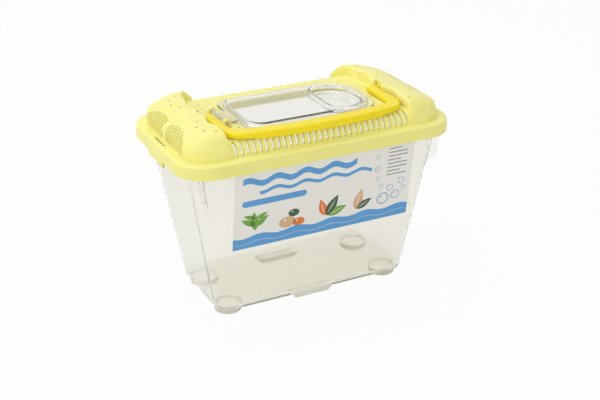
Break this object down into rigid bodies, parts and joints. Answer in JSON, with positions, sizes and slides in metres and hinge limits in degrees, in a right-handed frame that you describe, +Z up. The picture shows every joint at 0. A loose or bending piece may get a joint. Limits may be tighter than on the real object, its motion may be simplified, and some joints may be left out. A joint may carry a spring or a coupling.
{
  "type": "plastic pet keeper",
  "caption": "Clear tapered tank with a vented clip-on lid, a hinged feeding hatch in the lid, a fold-down carrying handle and a label on the front.",
  "frame": {"origin": "middle of the object's footprint, on the surface that its feet stand on", "axes": "+X along the length, away from the hatch's hinge; +Y from the front with the label to the back; +Z up"},
  "size_m": [0.198, 0.111, 0.1366],
  "materials": {
    "tank_clear": "clear moulded polystyrene, polished",
    "label_film": "printed film, grey-white ground with a blue band",
    "lid_lemon": "opaque lemon moulded plastic, satin",
    "hatch_clear": "clear moulded polystyrene, polished",
    "handle_yellow": "opaque strong yellow moulded plastic, satin"
  },
  "bodies": {
    "tank": {"tank": "tank_clear", "label": "label_film"},
    "lid": {"lid": "lid_lemon"},
    "hatch": {"hatch": "hatch_clear"},
    "handle": {"handle": "handle_yellow"}
  },
  "joints": [
    {"name": "lid_lift", "type": "slide", "parent": "tank", "child": "lid", "axis": [0, 0, 1], "range_m": [0, 0.03]},
    {"name": "handle_swing", "type": "hinge", "parent": "lid", "child": "handle", "pos_m": [0, 0, 0.132], "axis": [-1, 0, 0], "range_deg": [0, 180]},
    {"name": "hatch_hinge", "type": "hinge", "parent": "lid", "child": "hatch", "pos_m": [-0.0546, 0, 0.132], "axis": [0, -1, 0], "range_deg": [0, 145]}
  ]
}
